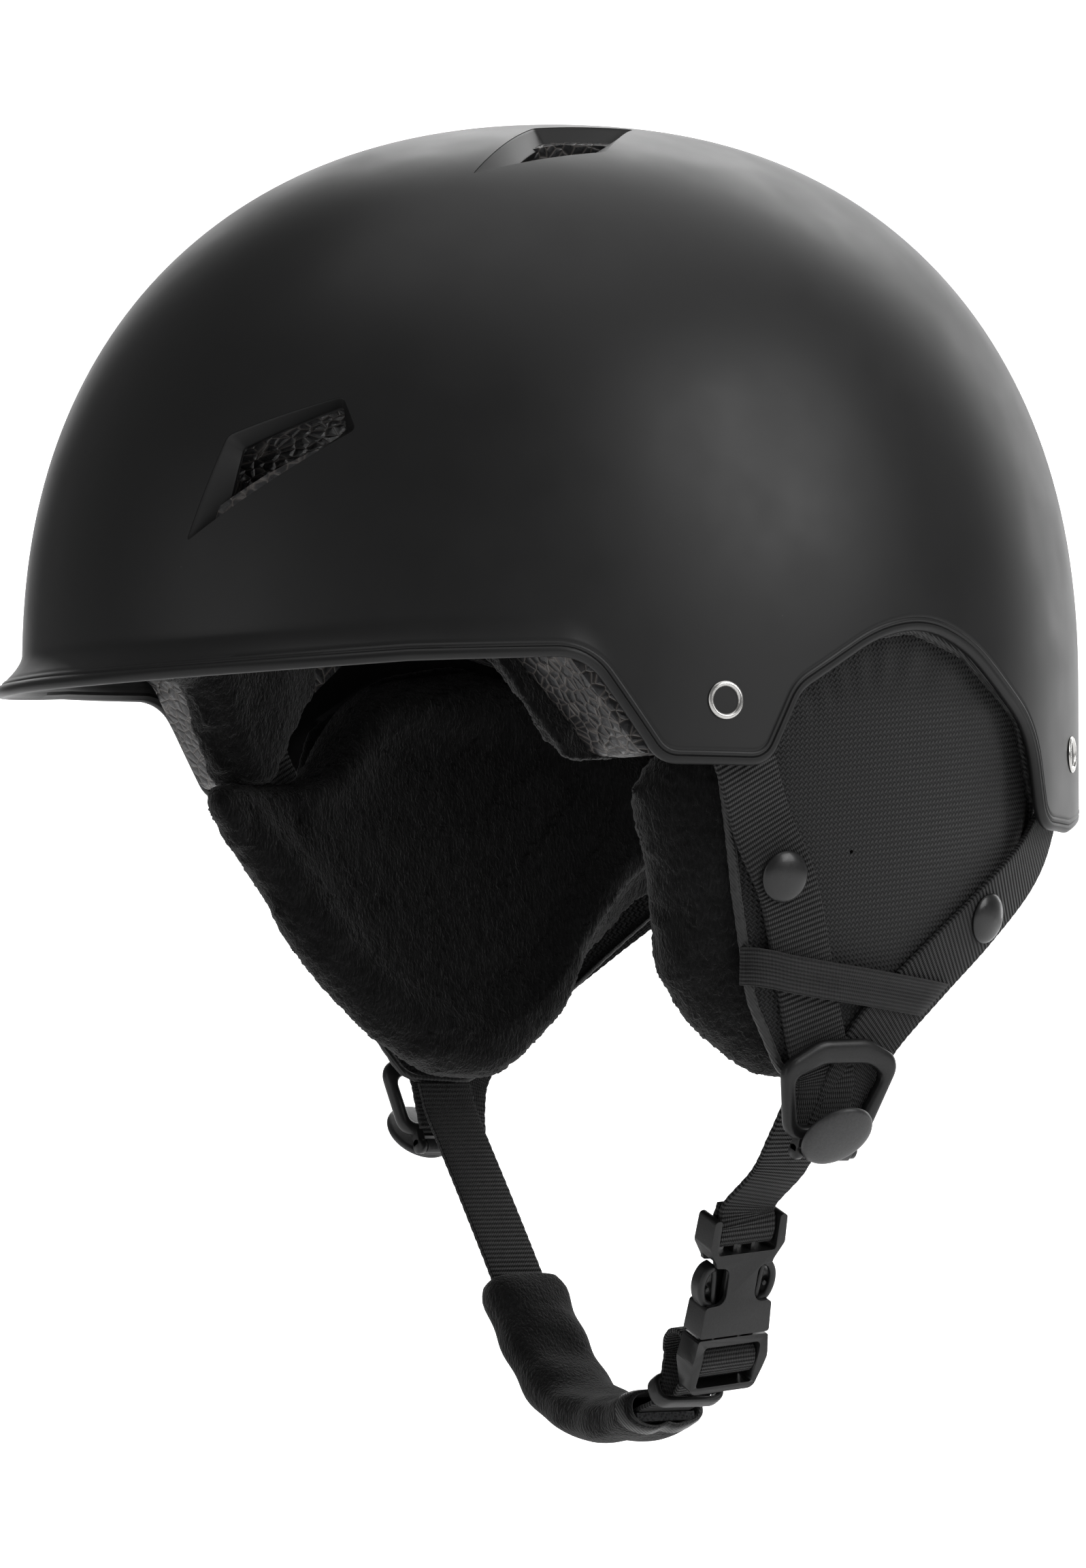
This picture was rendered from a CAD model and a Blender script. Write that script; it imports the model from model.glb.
"""How the ski helmet looks: shell, bead foam, plush pads, woven ear pads, webbing and buckle.

Lengths inside the functions are millimetres in the row's frame (wearer looks along -Y, +X is the
wearer's left, +Z up). Meshes are scaled to metres as they are made.
"""
import bmesh
import bpy
import math
import numpy as np
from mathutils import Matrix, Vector


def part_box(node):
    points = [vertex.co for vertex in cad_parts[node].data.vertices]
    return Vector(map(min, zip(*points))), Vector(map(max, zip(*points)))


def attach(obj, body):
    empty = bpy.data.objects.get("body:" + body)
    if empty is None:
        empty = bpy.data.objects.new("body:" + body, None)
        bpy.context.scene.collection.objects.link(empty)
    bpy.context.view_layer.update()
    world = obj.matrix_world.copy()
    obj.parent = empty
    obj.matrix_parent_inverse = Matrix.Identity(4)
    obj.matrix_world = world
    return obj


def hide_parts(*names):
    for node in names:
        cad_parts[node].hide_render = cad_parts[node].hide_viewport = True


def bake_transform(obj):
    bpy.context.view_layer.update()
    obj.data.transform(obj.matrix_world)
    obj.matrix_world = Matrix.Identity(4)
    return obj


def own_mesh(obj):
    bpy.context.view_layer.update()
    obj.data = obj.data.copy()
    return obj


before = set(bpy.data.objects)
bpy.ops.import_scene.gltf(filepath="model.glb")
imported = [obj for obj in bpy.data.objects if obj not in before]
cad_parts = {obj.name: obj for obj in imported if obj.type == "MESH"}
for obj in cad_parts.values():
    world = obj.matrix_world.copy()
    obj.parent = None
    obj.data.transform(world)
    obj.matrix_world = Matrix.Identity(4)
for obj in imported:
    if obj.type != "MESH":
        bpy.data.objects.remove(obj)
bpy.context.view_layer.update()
MM = 0.001

# ---- sizes, from the frame -------------------------------------------------------------------
SHELL_LO, SHELL_HI = (np.array(corner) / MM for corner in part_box("outer_shell"))
HALF_WIDTH = float(SHELL_HI[0])
CROWN = float(SHELL_HI[2])
WIDEST_Y = 8.0                  # the widest section sits a little behind the head's centre
BRIM_REACH = 9.5                # how far the brim stands out in front
FRONT_REACH = WIDEST_Y - float(SHELL_LO[1]) - BRIM_REACH
REAR_REACH = float(SHELL_HI[1]) - WIDEST_Y
FULLNESS = 2.25                 # exponent of the shell's superellipse
SHELL_WALL = 2.8
EAR_INSET = 6.2                 # the ear pads' outer face lies this far inside the shell's form
EAR_TAPER = 0.22                # and leans in by this share below EAR_BEND_Z
EAR_BEND_Z = -10.0
WEB_WIDTH = 16.0
WEB_THICK = 1.4
WEB_STEP = 0.9                  # webbing is sampled this often, and its selvedges swell by SELVEDGE
SELVEDGE = 0.012
LOOP_Y = 20.0                   # the chin loop hangs in this plane
# Side-view outlines as (y, z, corner radius): the shell's rim, the ear pads' woven face, and their plush.
RIM = [(-185, -7.5, 0), (-140, -7.0, 30), (-95, -3.2, 30), (-58.5, -2.0, 12), (-41, -27, 8),
       (-13, -27, 8), (-4, -9, 10), (19, 4.8, 70), (34.5, 7.8, 60), (50, 3.2, 70),
       (77.5, -15.5, 24), (84, -38.6, 8), (102, -38.8, 12), (134, -31.5, 20), (185, -31, 0)]
PANEL = [(-19, -29, 5), (-9, -8, 8), (13, 6.5, 22), (34, 10.5, 18), (54, 5.5, 22), (81, -10, 12),
         (97, -33, 10), (88, -51, 10), (42, -92, 14), (27, -101, 10), (8, -100, 9), (-4, -82, 25),
         (-12, -56, 25)]
PLUSH_REAR = [(-5, 4, 8), (16, 8, 16), (34, 9.5, 20), (54, 4.5, 18), (80, -10, 10), (93, -31, 10),
              (70, -44, 12), (59, -62, 20), (46, -86, 16), (28, -101, 12), (7, -99, 12)]
PLUSH_FRONT = {"left": [(-9, -90, 14), (-20, -76, 20), (-27, -48, 20), (-33, -29, 5), (-17, -10, 8)],
               "right": [(-9, -92, 16), (-19, -84, 20), (-35, -67, 30), (-48, -50, 30), (-68, -24, 4),
                         (-30, -22, 8), (-17, -8, 8)]}
EAR_CENTRE = (20.0, -46.0)
FRONT_RIVET, REAR_RIVET = (-24.9, -11.8), (104.0, -19.0)
FRONT_SNAP = (-0.6, -52)
REAR_SNAP, REAR_SNAP_FACE = (83.6, 70, -60.5), (.92, .32, -.22)
BODY = "helmet"
LOOP = "chin_loop"
SOCKET = "buckle_socket_half"


# ---- shapes ----------------------------------------------------------------------------------
def unit(v):
    v = np.asarray(v, float)
    return v / np.maximum(np.linalg.norm(v, axis=-1, keepdims=True), 1e-12)


def rounded(corners, closed=True, arc_points=9):
    """A dense outline through (u, v, radius) corners, each rounded by an arc."""
    n = len(corners)
    out = []
    for i, (u, v, radius) in enumerate(corners):
        here = np.array([u, v], float)
        if radius <= 0 or (not closed and i in (0, n - 1)):
            out.append(here)
            continue
        before = np.array(corners[i - 1][:2], float) - here
        after = np.array(corners[(i + 1) % n][:2], float) - here
        lb, la = np.linalg.norm(before), np.linalg.norm(after)
        before, after = before / lb, after / la
        half = math.acos(np.clip(before @ after, -1, 1)) / 2
        if half > math.pi / 2 - 0.02:
            out.append(here)
            continue
        reach = min(radius / math.tan(half), 0.48 * lb, 0.48 * la)
        radius = reach * math.tan(half)
        middle = here + unit(before + after) * radius / math.sin(half)
        start, end = here + before * reach - middle, here + after * reach - middle
        sweep_angle = math.atan2(start[0] * end[1] - start[1] * end[0], start @ end)
        first = math.atan2(start[1], start[0])
        for k in range(arc_points):
            turn = first + sweep_angle * k / (arc_points - 1)
            out.append(middle + radius * np.array([math.cos(turn), math.sin(turn)]))
    return np.array(out)


def resample(line, count, closed=False):
    """The same line with evenly spaced points."""
    line = np.asarray(line, float)
    if closed:
        line = np.vstack([line, line[:1]])
    along = np.concatenate([[0], np.cumsum(np.linalg.norm(np.diff(line, axis=0), axis=1))])
    wanted = np.linspace(0, along[-1], count + 1 if closed else count)
    if closed:
        wanted = wanted[:-1]
    return np.stack([np.interp(wanted, along, line[:, k]) for k in range(line.shape[1])], axis=1)


def spline(points, step=1.0):
    """Catmull-Rom line through the points, sampled about every step mm."""
    p = np.asarray(points, float)
    p = np.vstack([2 * p[0] - p[1], p, 2 * p[-1] - p[-2]])
    out = []
    for i in range(1, len(p) - 2):
        count = max(2, int(np.linalg.norm(p[i + 1][:3] - p[i][:3]) / step))
        for k in range(count):
            t = k / count
            out.append(0.5 * (2 * p[i] + (p[i + 1] - p[i - 1]) * t
                              + (2 * p[i - 1] - 5 * p[i] + 4 * p[i + 1] - p[i + 2]) * t ** 2
                              + (3 * p[i] - p[i - 1] - 3 * p[i + 1] + p[i + 2]) * t ** 3))
    out.append(p[-2])
    return np.array(out)


def make(name, verts, faces, material, body, uv=None):
    """A mesh piece from millimetre vertices, riding on a body. uv gives one (u, v) per face corner."""
    mesh = bpy.data.meshes.new(name)
    mesh.from_pydata((np.asarray(verts, float) * MM).tolist(), [], [tuple(map(int, f)) for f in faces])
    if uv is not None:
        layer = mesh.uv_layers.new(name="UVMap")
        layer.data.foreach_set("uv", (np.asarray(uv, float) * MM).ravel())
    mesh.shade_smooth()
    mesh.materials.append(material)
    piece = bpy.data.objects.new(name, mesh)
    bpy.context.collection.objects.link(piece)
    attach(piece, body)
    return piece


def grid(name, points, material, body, caps=False):
    """A piece from rows of points. Each row is closed, and caps closes the first and last rows.
    Its UVs run in millimetres along the rows and across them."""
    points = np.asarray(points, float)
    rows, cols = points.shape[:2]
    around = np.linalg.norm(np.diff(points[:, list(range(cols)) + [0]], axis=1), axis=2)
    u = np.concatenate([[0], np.cumsum(around[rows // 2])])
    v = np.concatenate([[0], np.cumsum(np.linalg.norm(np.diff(points, axis=0), axis=2).max(axis=1))])
    faces, uv = [], []
    for r in range(rows - 1):
        for c in range(cols):
            d = (c + 1) % cols
            faces.append((r * cols + c, r * cols + d, (r + 1) * cols + d, (r + 1) * cols + c))
            uv += [(u[c], v[r]), (u[c + 1], v[r]), (u[c + 1], v[r + 1]), (u[c], v[r + 1])]
    if caps:
        faces.append(tuple(reversed(range(cols))))
        faces.append(tuple(range((rows - 1) * cols, rows * cols)))
        uv += [(u[c], v[0]) for c in reversed(range(cols))] + [(u[c], v[-1]) for c in range(cols)]
    return make(name, points.reshape(-1, 3), faces, material, body, uv)


def mirror_points(points, side):
    points = np.array(points, float)
    if side == "right":
        points[..., 0] *= -1
    return points


def tidy_normals(piece, weld=False):
    """Turns every face outward, after joining doubled points if asked."""
    shape = bmesh.new()
    shape.from_mesh(piece.data)
    if weld:
        bmesh.ops.remove_doubles(shape, verts=shape.verts, dist=1e-6)
    bmesh.ops.recalc_face_normals(shape, faces=shape.faces)
    shape.to_mesh(piece.data)
    shape.free()


def apply_modifiers(piece):
    """Bakes every modifier into the piece's mesh."""
    depsgraph = bpy.context.evaluated_depsgraph_get()
    baked = bpy.data.meshes.new_from_object(piece.evaluated_get(depsgraph))
    piece.modifiers.clear()
    piece.data = baked


def bevelled(piece, width, segments=3, angle=35):
    cut = piece.modifiers.new("bevel", "BEVEL")
    cut.width = width * MM
    cut.segments = segments
    cut.limit_method = "ANGLE"
    cut.angle_limit = math.radians(angle)
    cut.harden_normals = False
    apply_modifiers(piece)


def prism_faces(n):
    """Sides and ends between two rings of n points."""
    sides = [(i, (i + 1) % n, n + (i + 1) % n, n + i) for i in range(n)]
    return sides + [tuple(reversed(range(n))), tuple(range(n, 2 * n))]


def carve(piece, verts):
    """Cuts a prism, given as its two rings of points, out of a piece."""
    mesh = bpy.data.meshes.new("cutter")
    mesh.from_pydata((np.asarray(verts, float) * MM).tolist(), [], prism_faces(len(verts) // 2))
    cutter = bpy.data.objects.new("cutter", mesh)
    bpy.context.collection.objects.link(cutter)
    tidy_normals(cutter)
    boolean = piece.modifiers.new("cut", "BOOLEAN")
    boolean.operation = "DIFFERENCE"
    boolean.solver = "EXACT"
    boolean.object = cutter
    apply_modifiers(piece)
    bpy.data.objects.remove(cutter)


def stand_in(piece, slot_name, *nodes):
    """The piece takes the place of these CAD nodes, and its finish from the slot."""
    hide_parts(*nodes)


def revolved(name, profile, centre, axis, material, body, turns=48):
    """A turned piece: profile is (radius, height) along axis from centre."""
    axis = unit(axis)
    side = unit(np.cross([0, 0, 1.0], axis) if abs(axis[2]) < 0.95 else np.cross([0, 1.0, 0], axis))
    other = np.cross(axis, side)
    angles = np.linspace(0, 2 * math.pi, turns, endpoint=False)
    rows = [[np.array(centre) + axis * h + (side * math.cos(a) + other * math.sin(a)) * max(r, 0.01)
             for a in angles] for r, h in profile]
    piece = grid(name, rows, material, body)
    tidy_normals(piece)
    return piece


def flat_section(width, thick, edge=0.45, columns=6):
    """Cross-section of webbing: closed (across, outward) points, with rounded selvedges."""
    w, t = width / 2, thick / 2
    edge = min(edge, t * 0.95)
    points = []
    for corner, (x, y) in enumerate(((w - edge, t - edge), (-w + edge, t - edge), (-w + edge, -t + edge),
                                     (w - edge, -t + edge))):
        for k in range(4):
            turn = math.pi / 2 * (corner + k / 3)
            points.append((x + edge * math.cos(turn), y + edge * math.sin(turn)))
        if corner in (0, 2):
            start, end = points[-1][0], -points[-1][0]
            points += [(start + (end - start) * k / columns, points[-1][1]) for k in range(1, columns)]
    return points


def swept(name, path, outwards, section, material, body, step, across=None, ripple=0.0):
    """A section swept along a smooth path. outwards gives the face's direction at each control point."""
    both = spline(np.hstack([np.asarray(path, float), unit(outwards)]), step)
    centre, outward = both[:, :3], unit(both[:, 3:])
    run = unit(np.gradient(centre, axis=0))
    side = unit(np.cross(run, outward))
    if across is not None:
        fixed = spline(np.hstack([np.asarray(path, float), unit(across)]), step)[:, 3:]
        side = unit(fixed - run * np.sum(fixed * run, axis=1, keepdims=True))
    outward = np.cross(side, run)
    section = np.array(section)
    waves = 1 + ripple * np.sin(np.arange(len(centre)) * 2.1)
    rows = centre[:, None] + side[:, None] * (section[None, :, :1] * waves[:, None, None]) \
        + outward[:, None] * section[None, :, 1:]
    piece = grid(name, rows, material, body, caps=True)
    tidy_normals(piece)
    return piece


# ---- materials -------------------------------------------------------------------------------
WAVE_TURN = 0.314


class Look:
    """A Principled material with a growing chain of bumps."""

    def __init__(self, name, color, roughness, **sockets):
        self.material = bpy.data.materials.new(name)
        self.material.use_nodes = True
        self.tree = self.material.node_tree
        self.shader = self.tree.nodes["Principled BSDF"]
        self.shader.inputs["Base Color"].default_value = (*color, 1)
        self.shader.inputs["Roughness"].default_value = roughness
        for key, value in sockets.items():
            self.shader.inputs[key.replace("_", " ")].default_value = value
        self.last_bump = None

    def node(self, kind, **settings):
        made = self.tree.nodes.new(kind)
        for key, value in settings.items():
            if hasattr(made, key):
                setattr(made, key, value)
            else:
                made.inputs[key.replace("_", " ")].default_value = value
        return made

    def link(self, source, target):
        self.tree.links.new(source, target)

    def coordinates(self, kind="Object", stretch=None):
        source = self.node("ShaderNodeTexCoord").outputs[kind]
        if stretch is None:
            return source
        mapping = self.node("ShaderNodeMapping")
        mapping.inputs["Scale"].default_value = stretch
        self.link(source, mapping.inputs["Vector"])
        return mapping.outputs["Vector"]

    def texture(self, kind, where, **settings):
        made = self.node(kind, **settings)
        self.link(where, made.inputs["Vector"])
        return made

    def noise(self, where, scale, detail, **more):
        return self.texture("ShaderNodeTexNoise", where, Scale=scale, Detail=detail, **more).outputs["Fac"]

    def waves(self, where, direction, pitch_mm, distortion=0.0):
        """Bands pitch_mm apart: a wave texture repeats every WAVE_TURN / Scale metres."""
        return self.texture("ShaderNodeTexWave", where, bands_direction=direction,
                            Scale=WAVE_TURN / (pitch_mm * MM), Distortion=distortion).outputs["Fac"]

    def math(self, operation, a, b=None):
        made = self.node("ShaderNodeMath", operation=operation)
        for value, socket in ((a, made.inputs[0]), (b, made.inputs[1])):
            if value is None:
                continue
            if isinstance(value, (int, float)):
                socket.default_value = value
            else:
                self.link(value, socket)
        return made.outputs[0]

    def ramp(self, value, *stops):
        made = self.node("ShaderNodeValToRGB")
        band = made.color_ramp
        while len(band.elements) < len(stops):
            band.elements.new(0.5)
        for element, (place, color) in zip(band.elements, stops):
            element.position = place
            element.color = (*color, 1) if len(color) == 3 else color
        self.link(value, made.inputs["Fac"])
        return made.outputs["Color"]

    def bump(self, height, depth_mm, strength=1.0):
        made = self.node("ShaderNodeBump")
        made.inputs["Strength"].default_value = strength
        made.inputs["Distance"].default_value = depth_mm * MM
        self.link(height, made.inputs["Height"])
        if self.last_bump is not None:
            self.link(self.last_bump, made.inputs["Normal"])
        self.last_bump = made.outputs["Normal"]
        self.link(self.last_bump, self.shader.inputs["Normal"])

    def color(self, value):
        self.link(value, self.shader.inputs["Base Color"])

    def roughness(self, value):
        self.link(value, self.shader.inputs["Roughness"])


def grey(level):
    return (level, level, level * 1.03)


def shell_plastic():
    """Matte lacquered shell: a very fine orange peel, and a few specks of dust."""
    look = Look("shell_matte_black", grey(0.009), 0.40, Specular_IOR_Level=0.45)
    where = look.coordinates()
    peel = look.noise(where, 2600.0, 2.0)
    wave = look.noise(where, 60.0, 2.0)
    look.bump(peel, 0.012, 0.5)
    look.bump(wave, 0.05, 0.10)
    look.roughness(look.ramp(wave, (0.3, grey(0.38)), (0.7, grey(0.44))))
    specks = look.texture("ShaderNodeTexVoronoi", where, Scale=95.0)
    look.color(look.ramp(specks.outputs["Distance"], (0.0, grey(0.05)), (0.02, grey(0.0088)),
                         (1.0, grey(0.0094))))
    return look.material


def bead_foam():
    """Expanded beads pressed together: domed cells with glossy skins and paler joints."""
    look = Look("bead_foam_charcoal", grey(0.05), 0.34, Specular_IOR_Level=0.5)
    where = look.coordinates()
    cells = look.texture("ShaderNodeTexVoronoi", where, Scale=340.0, feature="DISTANCE_TO_EDGE")
    tone = look.texture("ShaderNodeTexVoronoi", where, Scale=340.0)
    rising = look.math("MINIMUM", look.math("MULTIPLY", cells.outputs["Distance"], 3.2), 1.0)
    domed = look.math("POWER", rising, 0.5)
    look.bump(domed, 0.5, 0.85)
    skin = look.noise(where, 900.0, 4.0)
    look.bump(skin, 0.10, 0.5)
    joint = look.ramp(cells.outputs["Distance"], (0.0, (0.20, 0.185, 0.17)), (0.05, (0.11, 0.10, 0.095)),
                      (0.11, grey(0.042)))
    shade = look.node("ShaderNodeSeparateColor")
    look.link(tone.outputs["Color"], shade.inputs["Color"])
    mixed = look.node("ShaderNodeMix", data_type="RGBA", blend_type="MULTIPLY")
    mixed.inputs["Factor"].default_value = 0.7
    look.link(joint, mixed.inputs[6])
    look.link(look.ramp(shade.outputs["Red"], (0.0, grey(0.5)), (1.0, grey(1.0))), mixed.inputs[7])
    look.color(mixed.outputs[2])
    look.roughness(look.ramp(skin, (0.35, grey(0.25)), (0.65, grey(0.45))))
    return look.material


def plush(name="plush_black", level=0.0055):
    """Short dense pile: it scatters light at its edges, and lies in soft patches."""
    look = Look(name, grey(level), 1.0, Specular_IOR_Level=0.12, Sheen_Weight=0.22, Sheen_Roughness=0.5)
    where = look.coordinates()
    patches = look.noise(where, 85.0, 3.0, Distortion=0.8)
    pile = look.noise(look.coordinates(stretch=(1.0, 1.0, 0.35)), 1500.0, 3.0, Distortion=0.4)
    look.bump(patches, 1.6, 0.5)
    look.bump(pile, 0.7, 0.9)
    both = look.math("MULTIPLY", patches, pile)
    look.color(look.ramp(both, (0.10, grey(level * 0.35)), (0.28, grey(level)), (0.45, grey(level * 2.2))))
    return look.material


def ribbed(name, level, pitch, thread, depth, along=True):
    """Webbing or elastic: ribs of the given pitch, crossed by fine threads. UVs are in metres."""
    look = Look(name, grey(level), 0.62, Specular_IOR_Level=0.3, Sheen_Weight=0.12, Sheen_Roughness=0.4)
    where = look.coordinates("UV")
    wobble = look.noise(where, 240.0, 2.0)
    lengthwise, crosswise = ("Y", "X") if along else ("X", "Y")
    ribs = look.waves(where, lengthwise, pitch)
    threads = look.waves(where, crosswise, thread, 0.3)
    height = look.math("ADD", ribs, look.math("MULTIPLY", threads, 0.35))
    look.bump(height, depth, 1.0)
    look.bump(wobble, 0.25, 0.4)
    shade = look.math("MULTIPLY", height, look.math("ADD", wobble, 0.4))
    look.color(look.ramp(shade, (0.12, grey(level * 0.25)), (0.55, grey(level)), (0.95, grey(level * 2.5))))
    return look.material


def canvas():
    """The ear pads' outer cloth: a plain weave of thick threads."""
    look = Look("ear_canvas_black", grey(0.010), 0.62, Specular_IOR_Level=0.35, Sheen_Weight=0.12,
                Sheen_Roughness=0.4)
    pitch = 0.92
    where = look.coordinates("UV")
    turned = look.node("ShaderNodeMapping")
    turned.inputs["Rotation"].default_value = (0, 0, math.radians(38))
    look.link(where, turned.inputs["Vector"])
    where = turned.outputs["Vector"]
    warp, weft = look.waves(where, "X", pitch), look.waves(where, "Y", pitch)
    over = look.texture("ShaderNodeTexChecker", where, Scale=1.0 / (pitch * MM))
    height = look.math("MAXIMUM", look.math("MULTIPLY", warp, over.outputs["Fac"]),
                       look.math("MULTIPLY", weft, look.math("SUBTRACT", 1.0, over.outputs["Fac"])))
    look.bump(height, 0.26, 1.0)
    drape = look.noise(look.coordinates(), 28.0, 2.0)
    look.bump(drape, 1.2, 0.35)
    look.color(look.ramp(height, (0.0, grey(0.002)), (0.45, grey(0.011)), (1.0, grey(0.030))))
    return look.material


def satin(level=0.006):
    """Binding tape: a fine twill with a soft shine."""
    look = Look("satin_binding", grey(level), 0.38, Specular_IOR_Level=0.5, Sheen_Weight=0.3)
    where = look.coordinates()
    twill = look.waves(where, "DIAGONAL", 0.55, 0.6)
    puckers = look.noise(where, 260.0, 2.0)
    look.bump(twill, 0.10, 0.7)
    look.bump(puckers, 0.6, 0.6)
    look.color(look.ramp(twill, (0.0, grey(level * 0.6)), (1.0, grey(level * 1.4))))
    return look.material


def moulded(name="moulded_acetal", level=0.012, roughness=0.34, grain=0.05):
    """Moulded buckle plastic with a spark-eroded texture and slightly polished high spots."""
    look = Look(name, grey(level), roughness, Specular_IOR_Level=0.5)
    where = look.coordinates()
    spark = look.noise(where, 1500.0, 3.0, Roughness=0.7)
    flow = look.noise(where, 160.0, 3.0)
    look.bump(spark, grain, 0.8)
    look.roughness(look.ramp(flow, (0.3, grey(roughness * 0.85)), (0.7, grey(roughness * 1.15))))
    look.color(look.ramp(spark, (0.3, grey(level * 0.7)), (0.75, grey(level * 1.3))))
    return look.material


def lacquered_metal():
    look = Look("snap_black_lacquer", grey(0.012), 0.30, Coat_Weight=0.15, Specular_IOR_Level=0.6)
    fine = look.noise(look.coordinates(), 900.0, 3.0)
    look.bump(fine, 0.02, 0.5)
    look.roughness(look.ramp(fine, (0.3, grey(0.26)), (0.7, grey(0.36))))
    return look.material


def nickel():
    look = Look("nickel_plated_steel", (0.78, 0.77, 0.75), 0.18, Metallic=1.0)
    where = look.coordinates()
    brushed = look.noise(look.coordinates(stretch=(1, 1, 9)), 700.0, 3.0)
    look.bump(brushed, 0.02, 0.4)
    tarnish = look.noise(where, 380.0, 4.0)
    look.roughness(look.ramp(tarnish, (0.3, grey(0.14)), (0.75, grey(0.34))))
    return look.material


def open_foam():
    look = Look("open_cell_foam", grey(0.05), 0.95, Specular_IOR_Level=0.1)
    pores = look.texture("ShaderNodeTexVoronoi", look.coordinates(), Scale=1400.0)
    look.bump(pores.outputs["Distance"], 0.3, 0.9)
    look.color(look.ramp(pores.outputs["Distance"], (0.0, grey(0.015)), (0.6, grey(0.07))))
    return look.material


def hook_tape():
    look = Look("hook_tape_black", grey(0.02), 0.8)
    hooks = look.texture("ShaderNodeTexVoronoi", look.coordinates(), Scale=1100.0)
    look.bump(hooks.outputs["Distance"], 0.4, 1.0)
    look.color(look.ramp(hooks.outputs["Distance"], (0.0, grey(0.05)), (0.7, grey(0.008))))
    return look.material


SHELL, BEADS, PLUSH = shell_plastic(), bead_foam(), plush()
CANVAS, SATIN, PLASTIC = canvas(), satin(), moulded()
LACQUER, NICKEL, FOAM, HOOKS = lacquered_metal(), nickel(), open_foam(), hook_tape()
WEBBING = ribbed("webbing_grosgrain_black", 0.013, 1.35, 0.55, depth=0.75)
CHIN_WEB = ribbed("webbing_fine_black", 0.013, 1.05, 0.5, depth=0.6)
ELASTIC = ribbed("elastic_ribbed_black", 0.016, 0.95, 0.4, depth=0.55, along=False)
CHIN_PLUSH = plush("chin_plush_black", 0.0075)


# ---- shell -----------------------------------------------------------------------------------
def reach_by(y):
    return np.where(y < WIDEST_Y, FRONT_REACH, REAR_REACH)


def reach_at(angle):
    return np.where(np.cos(angle) > 0, FRONT_REACH, REAR_REACH)


def shell_point(angle, climb, inset=0.0):
    """A point on the shell: angle 0 is the front and +90 degrees the wearer's left; climb is the height
    as a share of the crown's below the brow plane, and the meridian's quarter turn above it."""
    turn = np.clip(climb, 0, 1) * math.pi / 2
    radius = np.cos(turn) ** (2 / FULLNESS)
    height = np.sin(turn) ** (2 / FULLNESS)
    z = np.where(climb < 0, climb * CROWN, height * (CROWN - inset))
    return np.stack([(HALF_WIDTH - inset) * radius * np.sin(angle),
                     WIDEST_Y - (reach_at(angle) - inset) * radius * np.cos(angle), z], axis=-1)


def climb_of(z, inset=0.0):
    share = np.clip(z / (CROWN - inset), 0, 1)
    return np.where(z < 0, z / CROWN, np.arcsin(share ** (FULLNESS / 2)) * 2 / math.pi)


def rim_line():
    """(angle, z) round the whole rim, evenly spaced, from the middle of the back on the right side."""
    line = rounded(RIM, closed=False)
    line = resample(line, 4000)
    share = (WIDEST_Y - line[:, 0]) / reach_by(line[:, 0])
    line = line[np.abs(share) <= 1]
    angle = np.arccos(share[np.abs(share) <= 1])
    half = np.stack([angle, line[:, 1]], axis=1)
    half = np.vstack([[0, half[0, 1]], half, [math.pi, half[-1, 1]]])
    whole = np.vstack([half, [[2 * math.pi - a, z] for a, z in half[::-1][1:-1]]])
    around = shell_point(whole[:, 0], whole[:, 1] / CROWN)
    steps = np.linalg.norm(np.diff(np.vstack([around, around[:1]]), axis=0), axis=1)
    along = np.concatenate([[0], np.cumsum(steps)])
    closed = np.vstack([whole, [2 * math.pi, whole[0, 1]]])
    wanted = np.linspace(0, along[-1], 680, endpoint=False)
    return np.stack([np.interp(wanted, along, closed[:, k]) for k in (0, 1)], axis=1)


def brim_flare(angle, above_rim):
    """How far the brim stands out, fading to nothing where the temple lobes begin."""
    facing = np.clip(np.cos(angle), 0, 1)
    fade = np.clip((facing - 0.40) / 0.08, 0, 1)
    fade = fade * fade * (3 - 2 * fade)
    down = np.clip(1 - above_rim / 9.0, 0, 1)
    return (BRIM_REACH - 0.4) * facing ** 2.05 * fade * (0.25 * down + 0.75 * down ** 1.8)


def outward_at(angle):
    n = np.stack([np.sin(angle) / HALF_WIDTH, -np.cos(angle) / reach_at(angle), 0 * angle], axis=-1)
    return unit(n)


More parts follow.
